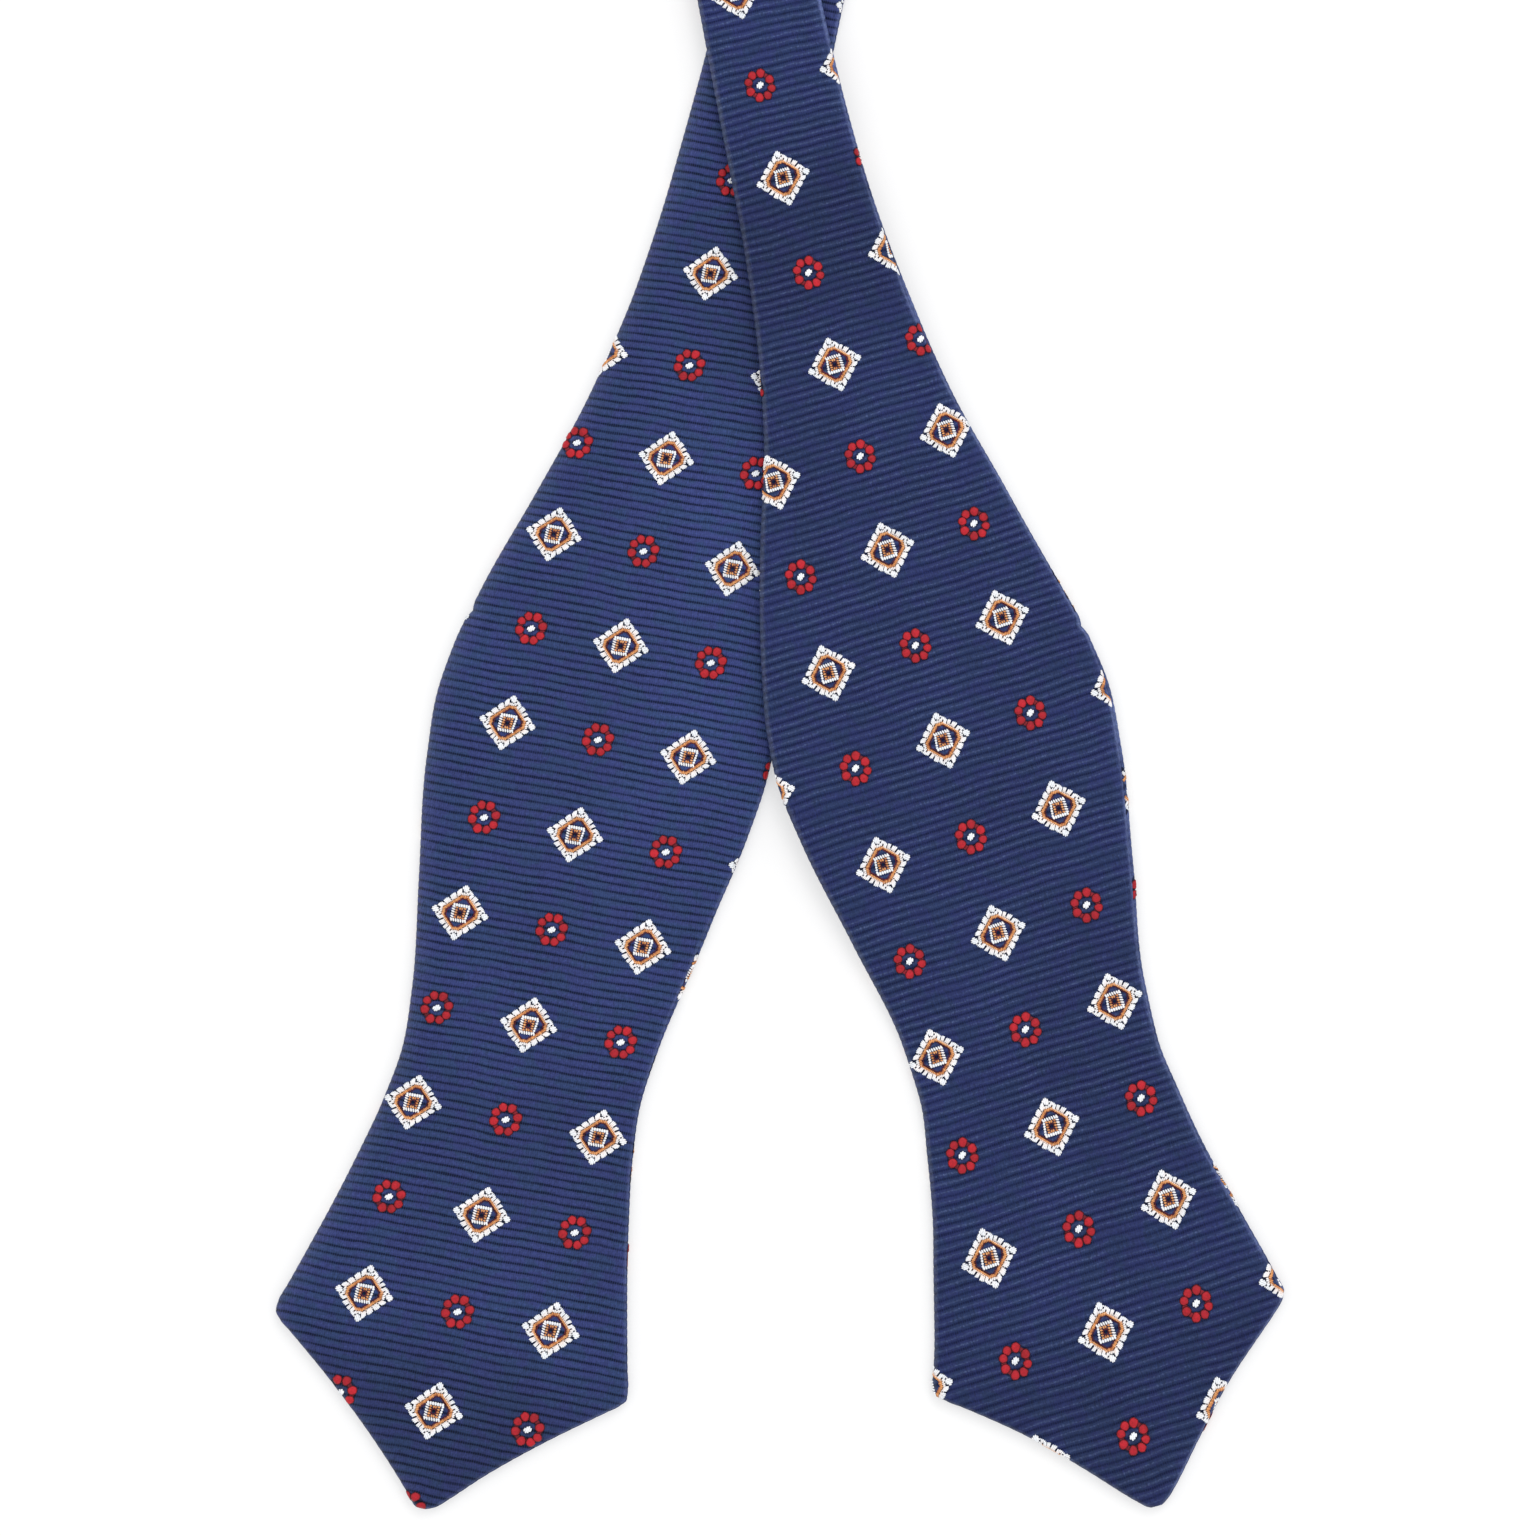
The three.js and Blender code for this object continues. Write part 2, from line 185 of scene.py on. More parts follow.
def column(rows, name):
    """Smooth curve through one column, with no overshoot between its rows."""
    x, y = rows["run"], rows[name]
    h = np.diff(x)
    d = np.diff(y) / h
    m = np.zeros(len(x))
    for i in range(1, len(x) - 1):
        if d[i - 1] * d[i] > 0:
            a, b = 2 * h[i] + h[i - 1], h[i] + 2 * h[i - 1]
            m[i] = (a + b) / (a / d[i - 1] + b / d[i])

    def end(h0, h1, d0, d1):
        s = ((2 * h0 + h1) * d0 - h0 * d1) / (h0 + h1)
        if s * d0 <= 0:
            return 0.0
        return 3 * d0 if d0 * d1 <= 0 and abs(s) > 3 * abs(d0) else s

    if len(h) > 1:
        m[0], m[-1] = end(h[0], h[1], d[0], d[1]), end(h[-1], h[-2], d[-1], d[-2])

    def at(run):
        r = np.clip(run, x[0], x[-1])
        i = np.clip(np.searchsorted(x, r, side="left") - 1, 0, len(h) - 1)
        t = (r - x[i]) / h[i]
        t2, t3 = t * t, t * t * t
        return (
            (2 * t3 - 3 * t2 + 1) * y[i] + (t3 - 2 * t2 + t) * h[i] * m[i]
            + (3 * t2 - 2 * t3) * y[i + 1] + (t3 - t2) * h[i] * m[i + 1]
        )

    return at


def smooth(t):
    t = np.clip(t, 0.0, 1.0)
    return t * t * (3 - 2 * t)


def quarter(a, b):
    """Length of a quarter of an ellipse."""
    return math.pi / 4 * (3 * (a + b) - np.sqrt((3 * a + b) * (a + 3 * b)))


def waves(x, y):
    """Slow unevenness of pressed cloth, from 0 to 1."""
    s = (
        np.sin(x * 0.21 + 1.3 * np.sin(y * 0.047)) + np.sin(y * 0.11 + 1.7 * np.sin(x * 0.09 + 2.0))
        + 0.6 * np.sin(0.31 * x + 0.19 * y + 0.7)
    )
    return 0.5 + s / 5.2


def wander(u, v):
    """How far the ribs stray from straight lines."""
    return (
        0.10 * np.sin(0.23 * u + 1.1 * np.sin(0.06 * v + 1.0))
        + 0.07 * np.sin(0.47 * u + 0.13 * v + 2.0 * np.sin(0.045 * v + 0.4))
        + 0.04 * np.sin(1.05 * u - 0.31 * v + 1.1)
    )


class Half:
    """One half of the tie: its centreline, its sections and its woven grid."""

    def __init__(self, spec):
        self.name, self.point, self.nick = spec["name"], spec["point"], spec["nick"]
        self.end = self.point + HALF_LENGTH + SEAM_MEET
        self.turn, self.back_from = spec["turn"], spec["back_from"]
        self.width = column(spec["widths"], "half")
        self.shift = column(spec["widths"], "shift")
        self.heading = column(spec["route"], "heading")
        self.clear = column(spec["lay"], "clear")
        self.roll = column(spec["lay"], "roll")
        self.peek = column(spec["peek"], "show")
        self.grid = spec["grid"]
        self.drift = {c: column(spec["drift"], c) for c in ("across", "along", "skew")}
        ahead, behind = self._sweep(spec["start"], self.end), self._sweep(spec["start"], -30.0)
        self.runs = np.concatenate([
            -np.arange(len(behind))[::-1] * WALK_STEP, np.arange(1, len(ahead)) * WALK_STEP])
        self.places = np.concatenate([behind[::-1], ahead[1:]])

    def _sweep(self, start, to):
        sign = math.copysign(1.0, to)
        count = math.ceil(abs(to) / WALK_STEP) + 1
        a = np.radians(self.heading(sign * (np.arange(count) + 0.5) * WALK_STEP))
        step = sign * WALK_STEP * np.stack([np.sin(a), np.cos(a)], 1)
        return np.concatenate([[start], start + np.cumsum(step, 0)])

    # the woven grid ---------------------------------------------------------

    def _terms(self, run, off):
        r, o = (np.minimum(run, GRID_END) - 110) / 100, off / 20
        past = (run - np.minimum(run, GRID_END)) / 100
        one = np.ones_like(r)
        value = (one, r, o, r * o, r * r, r**3)
        slope = (0 * one, one, 0 * one, o, 2 * r, 3 * r * r)
        by_off = (0 * one, 0 * one, one / 20, (r + past) / 20, 0 * one, 0 * one)
        return value, slope, by_off, past

    def fabric(self, run, off, slopes=False):
        """Place on the woven grid, weft way and warp way."""
        value, slope, by_off, past = self._terms(run, off)
        out, grads = [], []
        for way in ("across", "along"):
            c = self.grid[way]
            s = sum(k * t for k, t in zip(c, slope))
            drift = self.drift[way](run) + (self.drift["skew"](run) * off / 20 if way == "along" else 0)
            out.append(sum(k * t for k, t in zip(c, value)) + s * past + drift)
            grads.append((s / 100, sum(k * t for k, t in zip(c, by_off))))
        return (*out, *grads) if slopes else tuple(out)

    def from_fabric(self, across, along):
        """Run and offset of a place on the woven grid."""
        run = 110 + (along - self.grid["along"][0]) / self.grid["along"][1] * 100
        off = (across - self.grid["across"][0]) / self.grid["across"][2] * 20
        for _ in range(9):
            u, v, (ur, uo), (vr, vo) = self.fabric(run, off, True)
            du, dv = across - u, along - v
            det = ur * vo - uo * vr
            run = run + (du * vo - uo * dv) / det
            off = off + (ur * dv - vr * du) / det
        return run, off

    # sections ----------------------------------------------------------------

    def edges(self, run, side):
        """Left and right edge, width and height of the roll, length round it."""
        w, mid = self.width(run), self.shift(run)
        dip = NICK_DEPTH * np.maximum(0, 1 - np.abs(run - self.nick[0]) / NICK_REACH)
        peek = self.peek(run) / 2
        out = BACK_SHIFT if side < 0 else 0.0
        # where the tie stands on its edge, the threads keep clear of the floor
        lift = THREAD_ROOM * smooth(np.abs(self.roll(run)) / 30)
        left = mid - w + out + (dip if self.nick[1] < 0 else 0) + lift
        right = mid + w + out - (dip if self.nick[1] > 0 else 0) - side * peek - lift
        reach = (right - left) / 2
        rx = EDGE_ROUND * np.minimum(1, reach / (EDGE_ROUND * 1.2))
        t = 1 - np.clip((run - self.point) / TIP_ROUND, 0.0, 1.0)
        e = 1 - np.clip((self.end - run) / SEAM_ROUND, 0.0, 1.0)
        rz = (WALL - THREAD_ROOM) * np.sqrt(np.maximum(0.04, 1 - t * t)) * np.sqrt(
            np.maximum(0.2, 1 - e * e))
        return left, right, rx, rz, quarter(rx, rz)

    def frame(self, run):
        x = np.interp(run, self.runs, self.places[:, 0])
        y = np.interp(run, self.runs, self.places[:, 1])
        h, t = np.radians(self.heading(run)), np.radians(self.roll(run))
        low = self.width(run) + np.where(t > 0, BACK_SHIFT, 0.0)
        z = self.clear(run) + low * np.abs(np.sin(t)) + THICKNESS / 2 * np.cos(t)
        ch, sh, ct, st = np.cos(h), np.sin(h), np.cos(t), np.sin(t)
        return (
            np.stack([x, y, z], -1),
            np.stack([ch * ct, -sh * ct, -st], -1),
            np.stack([ch * st, -sh * st, ct], -1),
        )

    def place(self, side, run, s, h):
        """Point of the outer surface. s follows the cloth round its rolled edges,
        h is the height above the top of the ribs."""
        left, right, rx, rz, turn = self.edges(run, side)
        a, b = left + rx, right - rx
        over = np.where(s > b, s - b, np.where(s < a, s - a, 0.0))
        angle = np.clip(np.abs(over) / turn, 0, 1) * math.pi / 2
        sign = np.sign(over)
        off = np.clip(s, a, b) + sign * rx * np.sin(angle)
        up = rz * np.cos(angle)
        nx, nz = sign * np.sin(angle) * rz, np.cos(angle) * rx + 1e-9
        size = np.hypot(nx, nz)
        nx, nz = nx / size, nz / size
        h = h - 0.07 * waves(off + 40 * side, run) * nz
        origin, across, upward = self.frame(run)
        off, up = off + nx * h, up + nz * h
        v = side * (SEAM_GAP / 2 + up)
        if side < 0:  # past the seam the back cloth turns over the edge
            past = np.maximum(0.0, s - (b + turn))
            over_edge = np.minimum(1.0, past / 0.12)
            off = off - past - over_edge * nx * h
            v = v + over_edge * (0.06 + np.maximum(h, -0.02) * 0.8)
        return origin + across * off[..., None] + upward * v[..., None]

    def inner(self, side, run, off):
        origin, across, upward = self.frame(run)
        return origin + across * off[..., None] + upward * (side * SEAM_GAP / 2)


def rib_height(along):
    """The ribs, 0 at the crest and down to minus RIB_DEPTH in the groove."""
    t = np.mod(along / RIB, 1.0)
    return -RIB_DEPTH * np.abs(2 * t - 1) ** 2.6


# ---- meshes ---------------------------------------------------------------------


def new_mesh(name, points, faces, sharp=None):
    """Mesh object in metres. faces is a list of index arrays, one per face size."""
    mesh = bpy.data.meshes.new(name)
    mesh.vertices.add(len(points))
    mesh.vertices.foreach_set("co", (np.asarray(points) * 0.001).astype(np.float32).ravel())
    sizes = np.concatenate([np.full(len(f), f.shape[1]) for f in faces])
    corners = np.concatenate([f.ravel() for f in faces])
    mesh.loops.add(len(corners))
    mesh.loops.foreach_set("vertex_index", corners.astype(np.int32))
    mesh.polygons.add(len(sizes))
    mesh.polygons.foreach_set(
        "loop_start", np.concatenate([[0], np.cumsum(sizes)[:-1]]).astype(np.int32))
    mesh.polygons.foreach_set("loop_total", sizes.astype(np.int32))
    mesh.update(calc_edges=True)
    mesh.polygons.foreach_set("use_smooth", np.ones(len(sizes), bool))
    if sharp:
        mesh.set_sharp_from_angle(angle=math.radians(sharp))
    mesh.validate()
    obj = bpy.data.objects.new(name, mesh)
    bpy.context.scene.collection.objects.link(obj)
    return obj


def cloth(half, side, name):
    """The ribbed cloth of one side of a half: one closed shell."""
    count_out = 2 * len(EDGE_STEPS) + FLAT_STEPS

    def across_at(run):
        left, right, rx, rz, turn = half.edges(run[:, :1] if run.ndim > 1 else run, side)
        a, b = left + rx, right - rx
        cols = [a - turn * t for t in EDGE_STEPS[::-1]]
        cols += [a + (b - a) * (k + 1) / (FLAT_STEPS + 1) for k in range(FLAT_STEPS)]
        cols += [b + turn * t for t in EDGE_STEPS]
        mid, reach = (left + right) / 2, (right - left) / 2
        cols += [mid + reach * f for f in INNER_STEPS]
        return np.concatenate(cols, 1)

    phase = 0.0 if side > 0 else 130.0
    # levels of the warp way at which the rows of the mesh lie
    _, v_low = half.fabric(np.array([half.point]), np.array([0.0]))
    _, v_high = half.fabric(np.array([half.end]), np.array([0.0]))
    level = np.array([
        (k + t) * RIB
        for k in range(math.floor(v_low[0] / RIB) - 1, math.ceil(v_high[0] / RIB) + 1)
        for t in RIB_PHASES])
    middle = np.interp(level, [v_low[0], v_high[0]], [half.point, half.end])
    for _ in range(8):
        _, v, _, (vr, _) = half.fabric(middle, np.zeros_like(middle), True)
        middle = middle + (level - v) / vr
    keep = (middle > half.point + 0.12) & (middle < half.end - 0.1)
    middle, level = middle[keep], level[keep]

    run = np.repeat(middle[:, None], count_out + len(INNER_STEPS), 1)
    for _ in range(5):
        s = np.stack([across_at(run[:, [k]])[:, k] for k in range(run.shape[1])], 1)
        u, v, _, (vr, _) = half.fabric(run, s, True)
        run = run + (level[:, None] - v - wander(u, v + phase)) / vr
    ramp = smooth((middle - half.point - 0.3) / 4) * smooth((half.end - middle - 0.3) / 4)
    run = middle[:, None] + ramp[:, None] * (run - middle[:, None])
    ends = [np.full((1, run.shape[1]), r) for r in (half.point, half.end)]
    run = np.concatenate([ends[0], run, ends[1]])
    s = np.stack([across_at(run[:, [k]])[:, k] for k in range(run.shape[1])], 1)

    u, v = half.fabric(run, s)
    ribs = v + wander(u, v + phase)
    round_edge = np.abs(np.concatenate([
        EDGE_STEPS[::-1], np.zeros(FLAT_STEPS), EDGE_STEPS, np.ones(len(INNER_STEPS))]))
    depth = rib_height(ribs) * (1 - 0.6 * round_edge[None, :])
    outer = half.place(side, run[:, :count_out], s[:, :count_out], depth[:, :count_out])
    inner = half.inner(side, run[:, count_out:], s[:, count_out:])
    points = np.concatenate([outer, inner], 1)
    rows, ring = points.shape[:2]
    k = np.arange(ring)
    i = (np.arange(rows - 1) * ring)[:, None]
    a, b = i + k, i + (k + 1) % ring
    quads = np.stack([a, b, b + ring, a + ring], -1).reshape(-1, 4)
    caps = np.stack([np.arange(ring)[::-1], np.arange(ring) + (rows - 1) * ring])
    if side < 0:
        quads, caps = quads[:, ::-1], caps[:, ::-1]
    obj = new_mesh(name, points.reshape(-1, 3), [quads, caps], sharp=65)
    if side < 0:
        u = half.back_from[0] - u
        v = v + half.back_from[1]
    left, right, rx, rz, turn = half.edges(run, side)
    from_left, from_right = s - (left + rx - turn), right - rx + turn - s
    for name, values in (("weave", (u, v, ribs)), ("rims", (from_left, from_right, run))):
        put = obj.data.attributes.new(name, "FLOAT_VECTOR", "POINT")
        put.data.foreach_set(
            "vector", np.stack(values, -1).reshape(-1, 3).astype(np.float32).ravel())
    return obj


# ---- the woven motifs -----------------------------------------------------------


class Chart:
    """Raised threads of one colour, drawn on the woven grid in millimetres: x the
    weft way, y the warp way, h the height above the ribs."""

    def __init__(self):
        self.points, self.faces, self.tones, self.deep, self.which = [], [], [], [], []
        self.count = self.items = 0

    def add(self, points, faces, tones, deep):
        self.points.append(np.asarray(points, float))
        self.faces.append(np.asarray(faces, int) + self.count)
        self.tones.append(np.asarray(tones, float))
        self.deep.append(np.asarray(deep, float))
        self.which.append(np.full(len(points), self.items))
        self.count += len(points)
        self.items += 1

    def cord(self, line, width, high=0.24, base=0.0, tones=(0.0, 0.0), ends=0.45):
        """A thread along a line, with a low arched section and pointed ends."""
        line = np.asarray(line, float)
        span = np.linalg.norm(np.diff(line, axis=0), axis=1)
        total = span.sum()
        first = line[0] + (line[1] - line[0]) / span[0] * min(ends * width, 0.35 * span[0])
        last = line[-1] + (line[-2] - line[-1]) / span[-1] * min(ends * width, 0.35 * span[-1])
        stops = np.concatenate([[first], line[1:-1], [last]])
        way = np.gradient(np.concatenate([[line[0]], stops, [line[-1]]]), axis=0)[1:-1]
        way /= np.linalg.norm(way, axis=1)[:, None]
        aside = np.stack([-way[:, 1], way[:, 0]], 1) * width / 2
        points = [[*line[0], base]]
        for p, b in zip(stops, aside):
            points += [
                [*(p - b), base - high / 2], [*(p - b * 0.55), base + high / 2],
                [*(p + b * 0.55), base + high / 2], [*(p + b), base - high / 2]]
        points.append([*line[-1], base])
        n = len(stops)
        faces = [[0, 1 + (k + 1) % 4, 1 + k] for k in range(4)]
        for j in range(n - 1):
            for k in range(4):
                a, b = 1 + 4 * j + k, 1 + 4 * j + (k + 1) % 4
                faces += [[a, b, b + 4], [a, b + 4, a + 4]]
        tip, ring = len(points) - 1, 1 + 4 * (n - 1)
        faces += [[tip, ring + k, ring + (k + 1) % 4] for k in range(4)]
        at = np.concatenate([[0], np.linalg.norm(stops - line[0], axis=1) / total, [1]])
        at = np.clip(np.concatenate([[0], np.repeat(at[1:-1], 4), [1]]), 0, 1)
        # deep is 1 at the foot of each side and 0 on top, for painted shade down the sides
        deep = [0.5, *[1.0, 0.0, 0.0, 1.0] * n, 0.5]
        self.add(points, faces, tones[0] + (tones[1] - tones[0]) * at, deep)

    def loop(self, corners, width, high, base, tone):
        """A closed line of thread round the given corners."""
        c = np.asarray(corners, float)
        n = len(c)
        centre = c.mean(0)
        out = (c - centre) / np.linalg.norm(c - centre, axis=1)[:, None] * width / 2
        points = []
        for p, o in zip(c, out):
            points += [
                [*(p - o), base - high / 2], [*(p - o * 0.5), base + high / 2],
                [*(p + o * 0.5), base + high / 2], [*(p + o), base - high / 2]]
        faces = []
        for j in range(n):
            for k in range(4):
                a, b = 4 * j + k, 4 * j + (k + 1) % 4
                c2, d2 = 4 * ((j + 1) % n) + k, 4 * ((j + 1) % n) + (k + 1) % 4
                faces += [[a, d2, b], [a, c2, d2]]
        self.add(points, faces, np.full(len(points), tone), [1.0, 0.0, 0.0, 1.0] * n)

    def petal(self, x, y, rx, ry, angle, high, base=-0.05, sides=8, tones=(0.1, 0.2, 0.5),
              drop=0.14, ragged=None):
        """A low rounded dome of satin stitch, drawn in by drop at the end that it
        starts from, with an edge that ragged moves in and out."""
        a = np.arange(sides) / sides * 2 * math.pi
        c, s = math.cos(math.radians(angle)), math.sin(math.radians(angle))
        rough = 1.0 if ragged is None else ragged

        def ring(f, h):
            px, py = f * rx * np.cos(a) * rough, f * ry * np.sin(a) * (1 + drop * np.cos(a)) * rough
            return [[x + c * u - s * v, y + s * u + c * v, h] for u, v in zip(px, py)]

        points = [[x, y, base + high], *ring(0.72, base + 0.85 * high), *ring(1, base), [x, y, base - 0.08]]
        n = sides
        faces = []
        for k in range(n):
            j = (k + 1) % n
            faces += [
                [0, 1 + k, 1 + j], [1 + k, 1 + n + k, 1 + n + j], [1 + k, 1 + n + j, 1 + j],
                [1 + 2 * n, 1 + n + j, 1 + n + k]]
        # deep rises to 1 at the rim, for painted shade round the petal
        self.add(points, faces, [tones[0], *[tones[1]] * n, *[tones[2]] * n, tones[2]],
                 [0.0, *[0.15] * n, *[1.0] * n, 1.0])

    def stacked(self):
        return (
            np.concatenate(self.points), np.concatenate(self.faces), np.concatenate(self.tones),
            np.concatenate(self.deep), np.concatenate(self.which))


def side_frame(angle):
    """Local axes of a side of the diamond: along it, and outwards."""
    a = math.radians(angle)
    return np.array([math.cos(a), math.sin(a)]), np.array([-math.sin(a), math.cos(a)])


# The woven border of a diamond. A side is named by the way it runs, in degrees: 45
# and 225 are the long sides, 135 and 315 the short ones. Sizes go along the side
# from its middle and out from the middle of the diamond.
FLOAT_WIDTH = 0.35
FLOAT_FAN = 3.45  # the floats lie along rays, true to their place at this distance
JOGS = (-0.05, 0.03, 0.05, -0.03)  # how the ends of neighbouring floats differ
BLOCKS = table(
    ("side", "along", "floats", "wide", "low", "high"),
    (45, -2.05, 4, 1.10, 2.62, 3.52), (45, -0.70, 4, 1.16, 2.58, 3.64),
    (45, 0.70, 4, 1.16, 2.58, 3.70), (45, 2.05, 4, 1.10, 2.62, 3.62),
    (225, -1.86, 4, 1.08, 2.62, 3.54), (225, -0.50, 4, 1.18, 2.58, 3.68),
    (225, 0.90, 4, 1.18, 2.58, 3.66), (225, 2.25, 4, 1.10, 2.62, 3.56),
    (315, -0.56, 3, 0.90, 2.80, 3.86), (315, 0.45, 3, 0.74, 2.80, 3.76),
    (135, 0.36, 3, 0.90, 2.86, 3.88), (135, -0.65, 3, 0.74, 2.86, 3.78),
)
SLITS = {45: (-1.38, 0.0, 1.38), 225: (-1.2, 0.2, 1.58), 315: (-0.05,), 135: (-0.18,)}
# The ends of a short side, with a pinhole between their floats.
SHORT_ENDS = table(
    ("along", "low", "high"),
    (1.22, 2.60, 3.64), (1.50, 2.55, 3.72), (1.78, 3.08, 3.74), (1.70, 2.46, 2.74),
    (2.07, 2.56, 3.70), (2.34, 2.60, 3.12), (2.38, 3.30, 3.62), (2.66, 2.75, 3.52),
)
# The four points of the diamond: the way it points, and the side that its short
# side lies on. Floats lie along it, aside from its middle line.
POINTS = ((90, -1), (0, 1), (180, 1), (270, -1))
POINT_FLOATS = table(
    ("aside", "low", "high", "tone"),
    (-0.42, 4.12, 4.76, 0.0), (-0.14, 3.80, 5.02, 0.0), (0.14, 3.66, 5.06, 0.0),
    (0.42, 3.95, 4.82, 0.0), (-0.34, 3.1, 3.66, 0.5), (-0.04, 3.05, 3.74, 0.45),
    (0.26, 3.08, 3.6, 0.5),
)
ORANGE_STEP = 0.33
ORANGE_LINES = table(
    ("side", "out", "reach", "long", "tone_in", "tone_out"),
    (45, 2.28, 1.95, 0.66, 0.9, 0.1), (225, 2.26, 1.95, 0.66, 0.9, 0.0),
    (135, 2.58, 1.65, 0.46, 0.6, -0.2), (315, 2.50, 1.65, 0.46, 0.7, 0.0),
)
DARK_LINE = (
    (-0.05, 2.55), (0.49, 2.55), (2.45, 0.59), (2.45, -0.15),
    (-0.12, -2.72), (-0.49, -2.72), (-2.40, -0.81), (-2.40, 0.20))


def diamond():
    """One diamond, in white, orange and red thread."""
    white, orange, red = Chart(), Chart(), Chart()
    rng = np.random.default_rng(11)

    def ray(side, along, low, high, fan=1.0):
        """The ends of a float of one side."""
        a, o = side_frame(side)
        return [
            a * along * (1 + fan * (at / FLOAT_FAN - 1)) + o * at for at in (low, high)]

    for side, along, count, wide, low, high in zip(*BLOCKS.values()):
        step = (wide - FLOAT_WIDTH) / (count - 1)
        for k in range(int(count)):
            white.cord(
                ray(side, along + (k - (count - 1) / 2) * step,
                    low + rng.uniform(-0.03, 0.03), high + JOGS[k]),
                step * 1.32, 0.25, 0.03, (0.4, -0.2))
    for side, slits in SLITS.items():
        for along in slits:
            for aside, out, tone in ((-0.13, 2.66, 0.5), (0.13, 2.64, 0.5), (0.0, 3.02, 0.1)):
                a, o = side_frame(side)
                mid = a * (along + aside) * out / FLOAT_FAN + o * out
                white.cord([mid - o * 0.1, mid + o * 0.1], 0.3, 0.14, -0.02, (tone, tone))
    for side in (135, 315):
        for sign in (-1, 1):
            for along, low, high in zip(*SHORT_ENDS.values()):
                white.cord(ray(side, sign * along, low, high, 0.4), 0.37, 0.25, 0.03, (0.3, -0.1))
        for along in np.arange(-1.0, 1.01, 0.33):  # peach where the white goes over into orange
            white.cord(ray(side, along, 2.56, 2.95, 0.0), 0.36, 0.2, 0.02, (1.0, 0.4))
    for angle, hand in POINTS:
        out, aside = side_frame(angle)
        for at, low, high, tone in zip(*POINT_FLOATS.values()):
            foot = aside * hand * at
            white.cord([foot + out * low, foot + out * high], 0.36, 0.25, 0.07, (tone, 0.0))
        for k in range(5):
            foot = aside * ((k - 2) * 0.3 + hand * 0.22)
            orange.cord([foot + out * (2.5 + 0.06 * (k % 2)), foot + out * 3.2],
                        0.38, 0.22, 0.05, (0.8, -0.4 if angle > 90 else 0.1))
    for side, line, reach, long, tone_in, tone_out in zip(*ORANGE_LINES.values()):
        count = round(2 * reach / ORANGE_STEP)
        for k in range(count):
            a = (k - (count - 1) / 2) * 2 * reach / count
            size = long * (1 + 0.1 * (-1) ** k)
            orange.cord(ray(side, a, line - size / 2, line + size / 2, 0.5),
                        0.4, 0.22, 0.02, (tone_in, tone_out))
    red.loop(DARK_LINE, 0.26, 0.2, 0.0, 1.0)
    # the inner outline: closed on two sides, toothed on the other two
    for k in range(7):
        x = -1.28 + k * 0.43
        white.cord([(x - 0.08, 1.6), (x + 0.06, 0.94)], 0.48, 0.26, 0.03, (-0.1, 0.1), 0.3)
    for k in range(6):
        y, x = 0.94 - k * 0.44, 1.36 - 0.05 * k
        white.cord([(x + 0.26, y - 0.04), (x - 0.24, y + 0.05)], 0.5, 0.26, 0.03, (-0.1, 0.1), 0.3)
    for k in range(6):
        y = 0.92 - k * 0.44
        white.cord([(-1.66 + 0.02 * k, y + 0.12), (-0.92, y - 0.14)], 0.36, 0.25, 0.04, (-0.2, 0.4))
    for k in range(7):
        x = -1.28 + k * 0.42
        white.cord([(x + 0.12, -1.76), (x - 0.13, -1.06)], 0.37, 0.25, 0.03, (-0.2, 0.3))
    # the orange ring with its dark middle
    for k in range(5):
        y = 0.82 - k * 0.44
        orange.cord([(-1.0, y + 0.08), (-0.42, y - 0.1)], 0.4, 0.22, 0.0, (-0.1, 0.75))
        orange.cord([(0.98, y - 0.06), (0.38, y + 0.06)], 0.4, 0.22, 0.0, (0.0, 0.75))
    for x in (-0.18, 0.18):
        orange.cord([(x, 1.02), (x + 0.05, 0.42)], 0.4, 0.22, 0.03, (0.1, 0.8))
        orange.cord([(x + 0.04, -1.14), (x - 0.04, -0.54)], 0.4, 0.22, 0.03, (-0.3, 0.7))
    a = np.radians(np.arange(8) * 45 + 22)
    red.loop(np.stack([0.44 * np.cos(a) - 0.02, 0.48 * np.sin(a) - 0.06], 1), 0.2, 0.16, 0.0, 1.0)
    return {"white": white, "orange": orange, "red": red}


# Petals of a floret: angle from the weft way, distance from the middle, size.
PETALS = table(
    ("angle", "out", "wide", "tall"),
    (21, 2.08, 1.74, 1.80), (74, 2.24, 1.72, 1.86), (114, 2.28, 1.60, 1.74),
    (152, 2.18, 1.50, 1.68), (197, 2.04, 1.78, 1.80), (253, 2.12, 1.74, 1.86),
    (296, 2.18, 1.62, 1.70), (333, 2.12, 1.62, 1.74),
)


def floret():
    """One floret: eight red petals round a small white lozenge."""
    white, red = Chart(), Chart()
    a = np.radians(np.arange(14) * 360 / 14)
    red.loop(np.stack([2.05 * np.cos(a), 2.05 * np.sin(a)], 1), 1.05, 0.16, -0.06, 0.75)
    rng = np.random.default_rng(23)
    for angle, out, wide, tall in zip(*PETALS.values()):
        t = math.radians(angle)
        # the rim tone paints the petal edges darker: painted shade in the crevices between petals
        red.petal(out * math.cos(t), out * math.sin(t), tall / 2, wide / 2, angle, 0.2,
                  base=0.02, sides=12, tones=(0.0, 0.16, 0.85), ragged=rng.uniform(0.93, 1.07, 12))
    for k, (low, high) in enumerate(((-0.40, 0.26), (-0.66, 0.56), (-0.60, 0.68), (-0.34, 0.42))):
        x = (k - 1.5) * 0.32
        white.cord([(x - 0.1, low), (x + 0.08, high)], 0.42, 0.26, 0.02, (-0.1, -0.1), 0.3)
    return {"white": white, "red": red}


DIAMOND, FLORET = diamond(), floret()
SPREAD = {"white": 0.1, "orange": 0.28, "red": 0.2}  # how far neighbouring threads differ in tone


